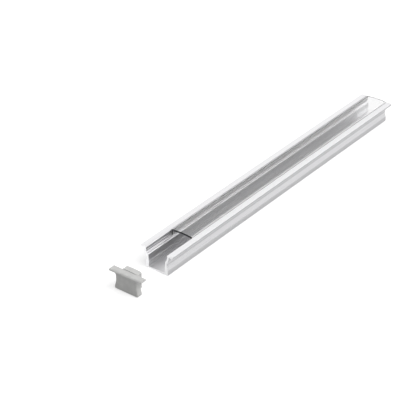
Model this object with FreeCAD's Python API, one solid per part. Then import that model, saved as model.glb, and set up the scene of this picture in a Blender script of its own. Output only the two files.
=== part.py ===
import FreeCAD, Part
import math
import os

# Recessed aluminium profile for LED strips up to 12 mm wide, with a clear snap-in cover
# and a moulded end cap that is shown taken off.
# Millimetres. The origin is the middle of the profile's underside, +X runs along the
# profile away from the cap, +Z points out of the mouth. Sections lie in the YZ plane and
# are mirrored about y = 0, so widths below are counted outwards from the channel.

# Profile, along its length and across its section
profile_length = 250.0
profile_height = 15.0
channel_width = 12.4
floor_thickness = 1.2
wall_thickness = 1.45

foot_spread = 1.0
foot_height = 3.0
foot_slope_height = 4.0
foot_edge_radius = 0.3
foot_shoulder_radius = 1.5
waist_height = 0.9
waist_radius = 5.0

wall_lean = 0.4
lean_start_height = 4.4
shoulder_width = 0.5
shoulder_height = 0.6
shoulder_radius = 0.4
nose_height = 0.8
nose_radius = 0.6
nose_foot_radius = 0.2
ledge_width = 0.9
ledge_wall_height = 1.5
groove_depth = 0.3
groove_height = 1.3
groove_radius = 0.12
lip_height = 1.4
mouth_radius = 0.8

flare_wall = 0.95
flare_rise = 1.1
flare_radius = 4.0
flare_shoulder_radius = 1.5
flange_reach = 3.15
flange_thickness = 1.5
flange_edge_radius = 0.3
flange_root_radius = 0.6

# Fine ribs low on each channel wall, above the strip
rib_projection = 0.3
rib_width = 0.8
rib_first_height = 2.2
rib_pitch = 1.6
rib_count = 2
channel_corner_radius = 0.3

# Cover
slide_clearance = 0.15
cover_setback = 25.0
cover_thickness = 1.2
cover_crown = 0.4
cover_edge_radius = 0.4
cover_leg_thickness = 0.6
cover_inner_radius = 0.9
barb_land = 0.35
barb_nose_width = 0.4
barb_radius = 0.1

# End cap
cap_depth = 4.6
cap_foot_gap = 2.0
cap_side_overhang = 0.3
cap_front_setback = 0.7
cap_wing_thickness = 1.25
cap_wing_root_radius = 2.5
cap_wing_tip_radius = 0.3
cap_front_radius = 1.1
cap_rim_radius = 0.7
cap_foot_height = 1.8
cap_foot_slope_height = 4.0
cap_corner_radius = 0.9
cap_waist_radius = 8.0

# Plug of the end cap
plug_side_clearance = 0.4
plug_foot_height = 1.65
plug_reach = 4.2
plug_wall = 1.3
plug_web = 1.6
plug_corner_radius = 0.9
plug_nose_radius = 0.4
crush_rib_radius = 0.3
crush_rib_heights = (2.6, 4.4)
crush_rib_setback = 0.8

# Where the cap stands and where it seats
cap_stand_off = 21.1
cap_seat_gap = 0.1
cover_end_gap = 0.3
cover_clear_of_end = 1.0

# Section lines that several pieces share
channel_half = channel_width / 2
wall_top_half = channel_half + wall_lean
nose_half = wall_top_half + shoulder_width
mouth_half = nose_half + ledge_width
groove_half = mouth_half + groove_depth
flare_half = groove_half + flare_wall
flange_half = flare_half + flange_reach
waist_half = channel_half + wall_thickness
foot_half = waist_half + foot_spread

lip_bottom = profile_height - lip_height
groove_bottom = lip_bottom - groove_height
ledge_level = groove_bottom - ledge_wall_height
shoulder_top = ledge_level - nose_height
shoulder_bottom = shoulder_top - shoulder_height
flange_bottom = profile_height - flange_thickness
waist_bottom = foot_height + foot_slope_height

near_end = -profile_length / 2
far_end = profile_length / 2

# Distance within which an edge counts as lying on a face
edge_tolerance = 1e-4


def unit_sides(before, corner, after):
    """Directions from a corner to the corners before and after it."""
    towards_before = FreeCAD.Vector(0, before[0] - corner[0], before[1] - corner[1])
    towards_after = FreeCAD.Vector(0, after[0] - corner[0], after[1] - corner[1])
    return towards_before.normalize(), towards_after.normalize()


def corner_arc(before, corner, after, radius):
    """Start, middle and end of the arc that rounds a corner."""
    towards_before, towards_after = unit_sides(before, corner, after)
    point = FreeCAD.Vector(0, corner[0], corner[1])
    half_angle = towards_before.getAngle(towards_after) / 2
    tangent = radius / math.tan(half_angle)
    bisector = (towards_before + towards_after).normalize()
    middle = point + bisector * (radius / math.sin(half_angle) - radius)
    return point + towards_before * tangent, middle, point + towards_after * tangent


def fitting_radii(corners):
    """Corner radii, made smaller where a side is too short for the arcs at its two ends."""
    reaches = []
    for index, corner in enumerate(corners):
        following = corners[(index + 1) % len(corners)]
        towards_before, towards_after = unit_sides(corners[index - 1], corner, following)
        reaches.append(corner[2] / math.tan(towards_before.getAngle(towards_after) / 2))
    shares = [1.0] * len(corners)
    for index in range(len(corners)):
        side = math.dist(corners[index - 1][:2], corners[index][:2])
        wanted = reaches[index - 1] + reaches[index]
        if wanted > side:
            shares[index - 1] = min(shares[index - 1], side / wanted)
            shares[index] = min(shares[index], side / wanted)
    return [corner[2] * share for corner, share in zip(corners, shares)]


def section_face(corners, x):
    """Face in the plane at x through corners (y, z, radius), with straight sides and arcs."""
    arcs = []
    for index, radius in enumerate(fitting_radii(corners)):
        before, corner = corners[index - 1], corners[index]
        following = corners[(index + 1) % len(corners)]
        if radius > 0:
            arcs.append(corner_arc(before, corner, following, radius))
        else:
            point = FreeCAD.Vector(0, corner[0], corner[1])
            arcs.append((point, point, point))
    edges = []
    for index, (start, middle, end) in enumerate(arcs):
        if not arcs[index - 1][2].isEqual(start, edge_tolerance):
            edges.append(Part.LineSegment(arcs[index - 1][2], start).toShape())
        if not start.isEqual(end, edge_tolerance):
            edges.append(Part.Arc(start, middle, end).toShape())
    face = Part.Face(Part.Wire(edges))
    face.translate(FreeCAD.Vector(x, 0, 0))
    return face


def mirrored(side):
    """The same corners on the other side of the middle plane, in the order that goes on round."""
    return [(-y, z, radius) for y, z, radius in reversed(side)]


def extrusion(corners, x_start, x_end):
    """Prism along X over a section."""
    return section_face(corners, x_start).extrude(FreeCAD.Vector(x_end - x_start, 0, 0))


def dome_corner(half_width, edge_level, crown, edge_room):
    """Corner on the middle line whose arc spans a shallow dome between two edges."""
    apex_rise = 2 * crown
    tangent = math.hypot(half_width, apex_rise) - edge_room
    return (0.0, edge_level + apex_rise, tangent * half_width / apex_rise)


def channel_ribs():
    """Corners of the fine ribs on one channel wall, from the upper one down."""
    corners = []
    for index in reversed(range(rib_count)):
        level = floor_thickness + rib_first_height + index * rib_pitch
        corners += [
            (channel_half, level + rib_width / 2, 0.0),
            (channel_half - rib_projection, level, rib_projection / 2),
            (channel_half, level - rib_width / 2, 0.0),
        ]
    return corners


def profile_outside():
    """Corners from the foot up the waisted outer wall to the top of the flange, on the +Y side."""
    return [
        (foot_half, 0.0, foot_edge_radius),
        (foot_half, foot_height, foot_shoulder_radius),
        (waist_half, waist_bottom, waist_radius),
        (waist_half, waist_bottom + waist_height, flare_radius),
        (flare_half, ledge_level + flare_rise, flare_shoulder_radius),
        (flare_half, flange_bottom, flange_root_radius),
        (flange_half, flange_bottom, flange_edge_radius),
        (flange_half, profile_height, flange_edge_radius),
    ]


def profile_inside():
    """Corners from the mouth down past the groove and ledge to the channel floor."""
    seat = [
        (mouth_half, profile_height, mouth_radius),
        (mouth_half, lip_bottom, groove_radius),
        (groove_half, lip_bottom, groove_radius),
        (groove_half, groove_bottom, groove_radius),
        (mouth_half, groove_bottom, groove_radius),
        (mouth_half, ledge_level, groove_radius),
        (nose_half, ledge_level, nose_radius),
        (nose_half, shoulder_top, nose_foot_radius),
        (wall_top_half, shoulder_bottom, shoulder_radius),
        (channel_half, floor_thickness + lean_start_height, 0.0),
    ]
    return seat + channel_ribs() + [(channel_half, floor_thickness, channel_corner_radius)]


def make_profile():
    """Extruded channel, sawn square at both ends."""
    side = profile_outside() + profile_inside()
    return extrusion(side + mirrored(side), near_end, far_end)


def make_cover():
    """Clear strip with a low dome and two barbed legs that snap under the profile's lips."""
    outer = mouth_half - slide_clearance
    inner = outer - cover_leg_thickness
    barb = groove_half - slide_clearance
    barb_top = lip_bottom - slide_clearance
    leg_bottom = ledge_level + slide_clearance
    underside = profile_height - cover_thickness
    apex = dome_corner(inner, underside, cover_crown, 2 * cover_inner_radius)
    top_apex = dome_corner(outer, profile_height, cover_crown, 2 * cover_edge_radius)
    side = [
        (inner, underside, cover_inner_radius),
        (inner, leg_bottom, barb_radius),
        (inner + barb_nose_width, leg_bottom, barb_radius),
        (outer, groove_bottom + slide_clearance, barb_radius),
        (barb, barb_top - barb_land, barb_radius),
        (barb, barb_top, barb_radius),
        (outer, barb_top, barb_radius),
        (outer, profile_height, cover_edge_radius),
    ]
    outline = [apex] + side + [top_apex] + mirrored(side)
    return extrusion(outline, near_end + cover_setback, far_end)


def cap_body_outline(top):
    """Front outline of the cap: a waisted body under two thin wings."""
    foot = foot_half + cap_side_overhang
    waist = waist_half + cap_side_overhang
    wing_bottom = top - cap_wing_thickness
    side = [
        (foot, 0.0, cap_corner_radius),
        (foot, cap_foot_height, cap_corner_radius),
        (waist, cap_foot_height + cap_foot_slope_height, cap_waist_radius),
        (waist, wing_bottom, cap_wing_root_radius),
        (flange_half, wing_bottom, cap_wing_tip_radius),
        (flange_half, top, cap_wing_tip_radius),
    ]
    return side + mirrored(side)


def cap_plate(top, front, rear):
    """The plate that closes the profile's end, with its wings and top proud in front."""
    body_front = front + cap_front_setback
    body = extrusion(cap_body_outline(top), body_front, rear)
    rim = [edge for edge in body.Edges if edge.BoundBox.XMax < body_front + edge_tolerance]
    body = body.makeFillet(cap_rim_radius, rim)
    bar = extrusion([
        (-flange_half, top - cap_wing_thickness, cap_wing_tip_radius),
        (flange_half, top - cap_wing_thickness, cap_wing_tip_radius),
        (flange_half, top, cap_wing_tip_radius),
        (-flange_half, top, cap_wing_tip_radius),
    ], front, rear)
    return body.fuse(bar).common(rounded_front(top, front, rear)).removeSplitter()


def rounded_front(top, front, rear):
    """Block whose top front edge is rounded across the cap's full width."""
    corner = FreeCAD.Vector(front, -flange_half, 0)
    block = Part.makeBox(rear - front, 2 * flange_half, top, corner)
    edges = [
        edge for edge in block.Edges
        if edge.BoundBox.XMax < front + edge_tolerance and edge.BoundBox.ZMin > top - edge_tolerance
    ]
    return block.makeFillet(cap_front_radius, edges)


def crush_rib(x_start, x_end, y, z):
    """Half-round rib along X with a pointed lead-in, which grips the channel wall."""
    along = FreeCAD.Vector(1, 0, 0)
    lead = 2 * crush_rib_radius
    lead_start = x_end - lead
    root = FreeCAD.Vector(x_start, y, z)
    stem = Part.makeCylinder(crush_rib_radius, lead_start - x_start, root, along)
    tip = Part.makeCone(crush_rib_radius, 0.0, lead, FreeCAD.Vector(lead_start, y, z), along)
    return stem.fuse(tip)


def cap_plug(top, rear):
    """Hollow plug behind the plate: its top follows the cover, its sides clear the channel."""
    half = channel_half - plug_side_clearance
    tip = rear + plug_reach
    level = top + cover_crown * (1 - (half / mouth_half) ** 2)
    crown = top + cover_crown - level
    outline = [
        (-half, plug_foot_height, plug_corner_radius),
        (half, plug_foot_height, plug_corner_radius),
        (half, level, plug_corner_radius),
        dome_corner(half, level, crown, 2 * plug_corner_radius),
        (-half, level, plug_corner_radius),
    ]
    plug = extrusion(outline, rear, tip)
    tip_edges = [edge for edge in plug.Edges if edge.BoundBox.XMin > tip - edge_tolerance]
    plug = plug.makeFillet(plug_nose_radius, tip_edges)
    for height in crush_rib_heights:
        for side in (-half, half):
            z = plug_foot_height + height
            plug = plug.fuse(crush_rib(rear, tip - crush_rib_setback, side, z))
    return plug.removeSplitter()


def plug_pocket(top, rear):
    """Hollow of the plug, moulded from behind so that its walls stay even."""
    half = channel_half - plug_side_clearance - plug_wall
    radius = plug_corner_radius / 2
    bottom = plug_foot_height + plug_wall
    roof = top - plug_wall
    return extrusion([
        (-half, bottom, radius),
        (half, bottom, radius),
        (half, roof, radius),
        (-half, roof, radius),
    ], rear - cap_depth + cap_front_setback + plug_web, rear + 2 * plug_reach)


def make_end_cap():
    """Moulded T-shaped cap, standing on its foot in line with the profile."""
    top = profile_height - cap_foot_gap
    rear = near_end - cap_stand_off - plug_reach
    plate = cap_plate(top, rear - cap_depth, rear)
    return plate.fuse(cap_plug(top, rear)).removeSplitter().cut(plug_pocket(top, rear))


def print_joint_values():
    """Travel of the two sliding pieces, in metres."""
    cap_run = cap_stand_off + plug_reach - cap_seat_gap
    cap_travel = math.hypot(cap_run, cap_foot_gap)
    cover_in = cover_setback - plug_reach + cap_seat_gap - cover_end_gap
    cover_out = profile_length - cover_setback + cover_clear_of_end
    print("cap axis", cap_run / cap_travel, 0, cap_foot_gap / cap_travel)
    print("cap travel", cap_travel / 1000)
    print("cover range", -cover_in / 1000, cover_out / 1000)


def save(node, shape):
    """Writes one piece as STEP and prints what it holds."""
    shape.exportStep("parts/" + node + ".step")
    box = shape.BoundBox
    print(node, shape.isValid(), len(shape.Solids), "solid", len(shape.Faces), "faces")
    print("  volume", round(shape.Volume, 1), "mm3")
    print("  x", round(box.XMin, 2), round(box.XMax, 2))
    print("  y", round(box.YMin, 2), round(box.YMax, 2))
    print("  z", round(box.ZMin, 2), round(box.ZMax, 2))


os.makedirs("parts", exist_ok=True)
save("profile", make_profile())
save("cover", make_cover())
save("end_cap", make_end_cap())
print_joint_values()
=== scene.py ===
import bpy
import math
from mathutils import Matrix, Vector

# Recessed aluminium profile with its clear cover drawn back and its end cap taken off,
# on a plain pale floor in soft studio light. Metres and degrees, in the part's own frame:
# +X runs along the profile away from the cap, +Z points out of the mouth.

# Camera, at the height and heading from which the profile runs up to the right
camera_position = (-0.72651, -0.49518, 0.52355)
camera_heading = 37.53
camera_drop = 31.26
camera_lens = 138.53
sensor_width = 36.0

# Lamps and the light of the room
key_direction = (0.05, -0.5, 1.0)
key_strength = 2.2
key_spread = 55.0
back_direction = (0.72, 0.55, 0.62)
back_strength = 0.27
back_spread = 60.0
side_direction = (0.60, -0.78, 0.18)
side_strength = 0.60
side_spread = 40.0
end_direction = (-0.90, 0.40, 0.10)
end_strength = 1.3
end_spread = 50.0
room_light = 0.35

# Floor
floor_size = 8.0
floor_drop = 0.00002
floor_colour = (0.60, 0.60, 0.60)
floor_white = 0.55
floor_shine = 0.34
# Painted shade seen only in reflections: a darker strip of floor beside the profile's right wall
reflection_shade_near = 0.009
reflection_shade_middle = 0.030
reflection_shade_far = 0.090
reflection_shade_share = 0.9

# Anodised aluminium
silver_dark = (0.760, 0.758, 0.769)
silver_light = (0.791, 0.789, 0.800)
silver_roughness = (0.27, 0.29)
floor_roughness = 0.45
floor_reach = 0.003
# Painted light and shade by place: the channel's floor and the outer waist lighter, the inner walls and
# the groove darker
channel_floor_painted_light = 1.09
inside_shade = 0.82
inside_half_width = 0.007
waist_painted_light = 1.2
groove_shade = 0.9
groove_bottom = 0.0115
middle_reach = (0.0077, 0.0085)
silver_anisotropy = 0.3
die_line_width = 0.00035
die_line_length = 0.12
streak_width = 0.0022
streak_length = 0.24
sawn_colour = (0.96, 0.96, 0.965)
sawn_roughness = 0.85
saw_mark_width = 0.00025
saw_mark_length = 0.005
saw_mark_depth = 0.000001

# Clear cover
clear_dim = (0.972, 0.972, 0.974)
clear_bright = (0.992, 0.992, 0.992)
# Painted shade: the cover's sawn ends are coloured nearly black in place of the darkness that light bent
# inside the clear plastic gives them
clear_end_painted_shade = (0.03, 0.03, 0.035)
clear_edge_roughness = 0.35
clear_haze = 0.08
clear_rim_roughness = 0.3
clear_rim_start = 0.0070
# Painted light: the rims let less light through and so read lighter, in place of light carried inside
# the plastic
clear_rim_painted_light = 0.4
clear_line_width = 0.0012
clear_line_length = 0.2
clear_index = 1.49

# Grey moulded plastic
grey_dark = (0.545, 0.545, 0.535)
grey_light = (0.615, 0.615, 0.605)
grey_roughness = (0.36, 0.46)
grey_cloud = 0.004
grey_grain = 0.00018
grey_grain_depth = 0.000006
grey_index = 1.5

# Where a face counts as facing a way, and the part of a noise's range that is used
facing_end = 0.9
facing_side = 0.7
noise_low = 0.3
noise_high = 0.7


class Nodes:
    """Short names for making and joining shader nodes in one node tree."""

    def __init__(self, tree):
        self.tree = tree
        tree.nodes.clear()

    def add(self, kind, **values):
        """A node with its settings set from the values given."""
        node = self.tree.nodes.new(kind)
        for name, value in values.items():
            setattr(node, name, value)
        return node

    def join(self, output, target):
        self.tree.links.new(output, target)

    def math(self, operation, first, second):
        """The result of one operation on two sockets or numbers."""
        node = self.add("ShaderNodeMath", operation=operation)
        for slot, value in enumerate((first, second)):
            if isinstance(value, (int, float)):
                node.inputs[slot].default_value = value
            else:
                self.join(value, node.inputs[slot])
        return node.outputs[0]

    def noise(self, spacing, detail=2.0):
        """Noise in the part's own coordinates, whose grain has the given size along X, Y and Z."""
        place = self.add("ShaderNodeTexCoord")
        mapping = self.add("ShaderNodeMapping")
        mapping.inputs["Scale"].default_value = [1 / size for size in spacing]
        noise = self.add("ShaderNodeTexNoise")
        noise.inputs["Scale"].default_value = 1.0
        noise.inputs["Detail"].default_value = detail
        self.join(place.outputs["Object"], mapping.inputs["Vector"])
        self.join(mapping.outputs["Vector"], noise.inputs["Vector"])
        return noise.outputs["Fac"]

    def spread(self, value, low, high):
        """The middle of a noise's range, spread between two numbers."""
        node = self.add("ShaderNodeMapRange")
        node.inputs["From Min"].default_value = noise_low
        node.inputs["From Max"].default_value = noise_high
        node.inputs["To Min"].default_value = low
        node.inputs["To Max"].default_value = high
        self.join(value, node.inputs["Value"])
        return node.outputs["Result"]

    def blend(self, share, first, second):
        """A colour between two colours or sockets."""
        node = self.add("ShaderNodeMix", data_type="RGBA")
        self.join(share, node.inputs["Factor"])
        for slot, value in (("A", first), ("B", second)):
            socket = [s for s in node.inputs if s.name == slot and s.type == "RGBA"][0]
            if isinstance(value, tuple):
                socket.default_value = value + (1.0,)
            else:
                self.join(value, socket)
        return [s for s in node.outputs if s.type == "RGBA"][0]

    def scaled(self, colour, factor):
        """A colour times a factor."""
        node = self.add("ShaderNodeVectorMath", operation="SCALE")
        self.join(colour, node.inputs[0])
        self.join(factor, node.inputs["Scale"])
        return node.outputs[0]

    def mix(self, share, first, second):
        """A number between two numbers or sockets."""
        node = self.add("ShaderNodeMix", data_type="FLOAT")
        self.join(share, node.inputs["Factor"])
        for slot, value in (("A", first), ("B", second)):
            socket = [s for s in node.inputs if s.name == slot and s.type == "VALUE"][0]
            if isinstance(value, (int, float)):
                socket.default_value = value
            else:
                self.join(value, socket)
        return [s for s in node.outputs if s.type == "VALUE"][0]

    def bump(self, height, depth):
        """A bump of the given depth from a height between 0 and 1."""
        node = self.add("ShaderNodeBump")
        node.inputs["Strength"].default_value = 1.0
        node.inputs["Distance"].default_value = depth
        self.join(height, node.inputs["Height"])
        return node.outputs["Normal"]

    def axes(self, coordinate):
        """The X, Y and Z of a texture coordinate: Object for the place, Normal for the facing."""
        place = self.add("ShaderNodeTexCoord")
        split = self.add("ShaderNodeSeparateXYZ")
        self.join(place.outputs[coordinate], split.inputs[0])
        return split.outputs

    def unsigned(self, value):
        """A number without its sign."""
        return self.math("ABSOLUTE", value, 0.0)

    def cut_end(self):
        """1 on the faces that look along the profile, which are sawn, and 0 elsewhere."""
        return self.math("GREATER_THAN", self.unsigned(self.axes("Normal")["X"]), facing_end)

    def beyond(self, distance):
        """1 farther than a distance from the part's middle plane, on both sides, and 0 elsewhere."""
        return self.math("GREATER_THAN", self.unsigned(self.axes("Object")["Y"]), distance)

    def upright_walls(self, near, far):
        """1 on the upright walls between two distances from the part's middle plane, and 0 elsewhere."""
        upright = self.math("GREATER_THAN", self.unsigned(self.axes("Normal")["Y"]), facing_side)
        within = self.math("LESS_THAN", self.unsigned(self.axes("Object")["Y"]), far)
        return self.math("MULTIPLY", upright, self.math("MULTIPLY", self.beyond(near), within))

    def above(self, height):
        """1 higher than the given height, and 0 elsewhere."""
        return self.math("GREATER_THAN", self.axes("Object")["Z"], height)

    def channel_floor(self):
        """1 on the faces that look up at the bottom of the channel, and 0 elsewhere."""
        upward = self.math("GREATER_THAN", self.axes("Normal")["Z"], facing_side)
        low = self.math("LESS_THAN", self.axes("Object")["Z"], floor_reach)
        return self.math("MULTIPLY", upward, low)

    def shader(self, **values):
        """The surface shader, joined to the output, with plain values on its sockets."""
        node = self.add("ShaderNodeBsdfPrincipled")
        for name, value in values.items():
            node.inputs[name].default_value = value
        output = self.add("ShaderNodeOutputMaterial")
        self.join(node.outputs[0], output.inputs["Surface"])
        return node


def new_material(name):
    material = bpy.data.materials.new(name)
    material.use_nodes = True
    return material, Nodes(material.node_tree)


def dress(node_name, material):
    """Gives a part its material in place of the plain one that it was loaded with."""
    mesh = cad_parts[node_name].data
    mesh.materials.clear()
    mesh.materials.append(material)


def anodised_aluminium():
    """Satin silver anodising over fine die lines, duller on the channel's floor, with bare sawn ends,
    with painted shade on the inner walls and in the groove, and painted light on the outer waist and the
    channel's floor.
    """
    material, nodes = new_material("anodised_aluminium")
    shader = nodes.shader(Metallic=1.0, Anisotropic=silver_anisotropy)
    lines = nodes.noise((die_line_length, die_line_width, die_line_width), detail=3.0)
    streaks = nodes.noise((streak_length, streak_width, streak_width), detail=1.0)
    sawn = nodes.cut_end()
    marks = nodes.noise((1.0, saw_mark_length, saw_mark_width))

    silver = nodes.blend(nodes.spread(streaks, 0.0, 1.0), silver_dark, silver_light)
    # Painted shade and light: the base colour is darkened on the inner walls and in the groove, and
    # lightened on the outer waist and the channel's floor, by where they stand
    shade = nodes.mix(nodes.upright_walls(0.0, inside_half_width), 1.0, inside_shade)
    middle = nodes.mix(nodes.above(groove_bottom), waist_painted_light, groove_shade)
    shade = nodes.mix(nodes.upright_walls(*middle_reach), shade, middle)
    bottom = nodes.channel_floor()
    shade = nodes.mix(bottom, shade, channel_floor_painted_light)
    silver = nodes.scaled(silver, shade)
    nodes.join(nodes.blend(sawn, silver, sawn_colour), shader.inputs["Base Color"])
    rough = nodes.spread(lines, *silver_roughness)
    rough = nodes.mix(bottom, rough, floor_roughness)
    nodes.join(nodes.mix(sawn, rough, sawn_roughness), shader.inputs["Roughness"])
    nodes.join(nodes.bump(nodes.mix(sawn, 0.5, marks), saw_mark_depth), shader.inputs["Normal"])
    tangent = nodes.add("ShaderNodeTangent", direction_type="RADIAL", axis="X")
    nodes.join(tangent.outputs[0], shader.inputs["Tangent"])
    return material


def clear_plastic():
    """Clear plastic with a slight haze, with painted light on its barbed rims, made milky so that they
    read lighter, and with painted shade, nearly black, on its sawn ends.
    """
    material, nodes = new_material("clear_plastic")
    shader = nodes.shader(IOR=clear_index)
    lines = nodes.noise((clear_line_length, clear_line_width, clear_line_width))
    sawn = nodes.cut_end()
    clear = nodes.blend(nodes.spread(lines, 0.0, 1.0), clear_dim, clear_bright)
    # Painted shade: nearly black on the sawn ends
    nodes.join(nodes.blend(sawn, clear, clear_end_painted_shade), shader.inputs["Base Color"])
    rim = nodes.beyond(clear_rim_start)
    # Painted light: the rims are made milky so that they read lighter
    nodes.join(nodes.mix(rim, 1.0, 1.0 - clear_rim_painted_light), shader.inputs["Transmission Weight"])
    rough = nodes.mix(rim, clear_haze, clear_rim_roughness)
    nodes.join(nodes.mix(sawn, rough, clear_edge_roughness), shader.inputs["Roughness"])
    return material


def grey_plastic():
    """Grey moulded plastic with a fine satin grain."""
    material, nodes = new_material("grey_plastic")
    shader = nodes.shader(IOR=grey_index)
    cloud = nodes.noise((grey_cloud, grey_cloud, grey_cloud), detail=3.0)
    grain = nodes.noise((grey_grain, grey_grain, grey_grain))
    grey = nodes.blend(nodes.spread(cloud, 0.0, 1.0), grey_dark, grey_light)
    nodes.join(grey, shader.inputs["Base Color"])
    nodes.join(nodes.spread(cloud, *grey_roughness), shader.inputs["Roughness"])
    nodes.join(nodes.bump(grain, grey_grain_depth), shader.inputs["Normal"])
    return material


def seen_share(nodes):
    """1 for rays from the camera, from a reflection or through clear plastic, and 0 for light."""
    path = nodes.add("ShaderNodeLightPath")
    seen = nodes.math("MAXIMUM", path.outputs["Is Camera Ray"], path.outputs["Is Glossy Ray"])
    return nodes.math("MAXIMUM", seen, path.outputs["Is Transmission Ray"])


def painted_reflection_shade(nodes):
    """1 over the strip of floor beside the profile's right wall, fading out away from it, else 0: where
    painted shade darkens the floor in reflections.
    """
    across = nodes.axes("Object")["Y"]
    beside = nodes.math("LESS_THAN", across, -reflection_shade_near)
    fade = nodes.add("ShaderNodeMapRange", interpolation_type="SMOOTHSTEP")
    fade.inputs["From Min"].default_value = -reflection_shade_far
    fade.inputs["From Max"].default_value = -reflection_shade_middle
    nodes.join(across, fade.inputs["Value"])
    return nodes.math("MULTIPLY", beside, fade.outputs["Result"])


def make_floor():
    """Plain pale floor that looks white and keeps the part's shadow, with painted shade on a strip
    beside it, seen only in reflections, that darkens the part's side there.
    """
    mesh = bpy.data.meshes.new("floor")
    half = floor_size / 2
    corners = [(-half, -half), (half, -half), (half, half), (-half, half)]
    mesh.from_pydata([(x, y, -floor_drop) for x, y in corners], [], [(0, 1, 2, 3)])
    floor = bpy.data.objects.new("floor", mesh)
    bpy.context.scene.collection.objects.link(floor)

    material, nodes = new_material("floor")
    diffuse = nodes.add("ShaderNodeBsdfDiffuse")
    diffuse.inputs["Color"].default_value = floor_colour + (1.0,)
    glow = nodes.add("ShaderNodeEmission")
    path = nodes.add("ShaderNodeLightPath")
    # Painted shade: the floor's glow in reflections is dimmed over the strip beside the profile
    shade = nodes.math("MULTIPLY", painted_reflection_shade(nodes), -reflection_shade_share)
    share = nodes.math("MULTIPLY", seen_share(nodes), nodes.math("ADD", shade, 1.0))
    shine = nodes.math("MULTIPLY", share, floor_shine)
    nodes.join(nodes.mix(path.outputs["Is Camera Ray"], shine, floor_white), glow.inputs["Strength"])
    total = nodes.add("ShaderNodeAddShader")
    output = nodes.add("ShaderNodeOutputMaterial")
    nodes.join(diffuse.outputs[0], total.inputs[0])
    nodes.join(glow.outputs[0], total.inputs[1])
    nodes.join(total.outputs[0], output.inputs["Surface"])
    mesh.materials.append(material)


def make_room():
    """White surroundings that light the part only softly."""
    world = bpy.data.worlds.new("room")
    world.use_nodes = True
    bpy.context.scene.world = world
    nodes = Nodes(world.node_tree)
    background = nodes.add("ShaderNodeBackground")
    nodes.join(nodes.mix(seen_share(nodes), room_light, 1.0), background.inputs["Strength"])
    output = nodes.add("ShaderNodeOutputWorld")
    nodes.join(background.outputs[0], output.inputs["Surface"])


def make_lamp(name, direction, strength, spread, mirrored, scattered):
    """Distant soft lamp that may show in the metal and through the cover, or light matt surfaces."""
    light = bpy.data.lights.new(name, "SUN")
    light.energy = strength
    light.angle = math.radians(spread)
    lamp = bpy.data.objects.new(name, light)
    lamp.rotation_mode = "QUATERNION"
    lamp.rotation_quaternion = Vector(direction).to_track_quat("Z", "Y")
    lamp.visible_glossy = mirrored
    lamp.visible_transmission = mirrored
    lamp.visible_diffuse = scattered
    bpy.context.scene.collection.objects.link(lamp)


def make_camera():
    data = bpy.data.cameras.new("camera")
    data.lens = camera_lens
    data.sensor_width = sensor_width
    data.clip_start = 0.01
    data.clip_end = 50.0
    camera = bpy.data.objects.new("camera", data)
    heading, drop = math.radians(camera_heading), math.radians(camera_drop)
    forward = Vector((
        math.cos(drop) * math.cos(heading),
        math.cos(drop) * math.sin(heading),
        -math.sin(drop),
    ))
    camera.location = camera_position
    camera.rotation_mode = "QUATERNION"
    camera.rotation_quaternion = forward.to_track_quat("-Z", "Y")
    bpy.context.scene.collection.objects.link(camera)
    bpy.context.scene.camera = camera


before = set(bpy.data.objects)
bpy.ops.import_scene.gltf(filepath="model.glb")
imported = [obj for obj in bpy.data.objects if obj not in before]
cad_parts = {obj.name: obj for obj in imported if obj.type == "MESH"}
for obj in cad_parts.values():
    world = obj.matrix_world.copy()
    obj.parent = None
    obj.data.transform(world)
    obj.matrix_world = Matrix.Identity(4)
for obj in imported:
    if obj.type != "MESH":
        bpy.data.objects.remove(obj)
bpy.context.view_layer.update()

dress("profile", anodised_aluminium())
dress("cover", clear_plastic())
dress("end_cap", grey_plastic())

make_floor()
make_room()
make_lamp("key", key_direction, key_strength, key_spread, mirrored=False, scattered=True)
make_lamp("back", back_direction, back_strength, back_spread, mirrored=True, scattered=True)
make_lamp("side", side_direction, side_strength, side_spread, mirrored=True, scattered=True)
make_lamp("end", end_direction, end_strength, end_spread, mirrored=True, scattered=False)
make_camera()
bpy.context.scene.view_settings.view_transform = "Standard"
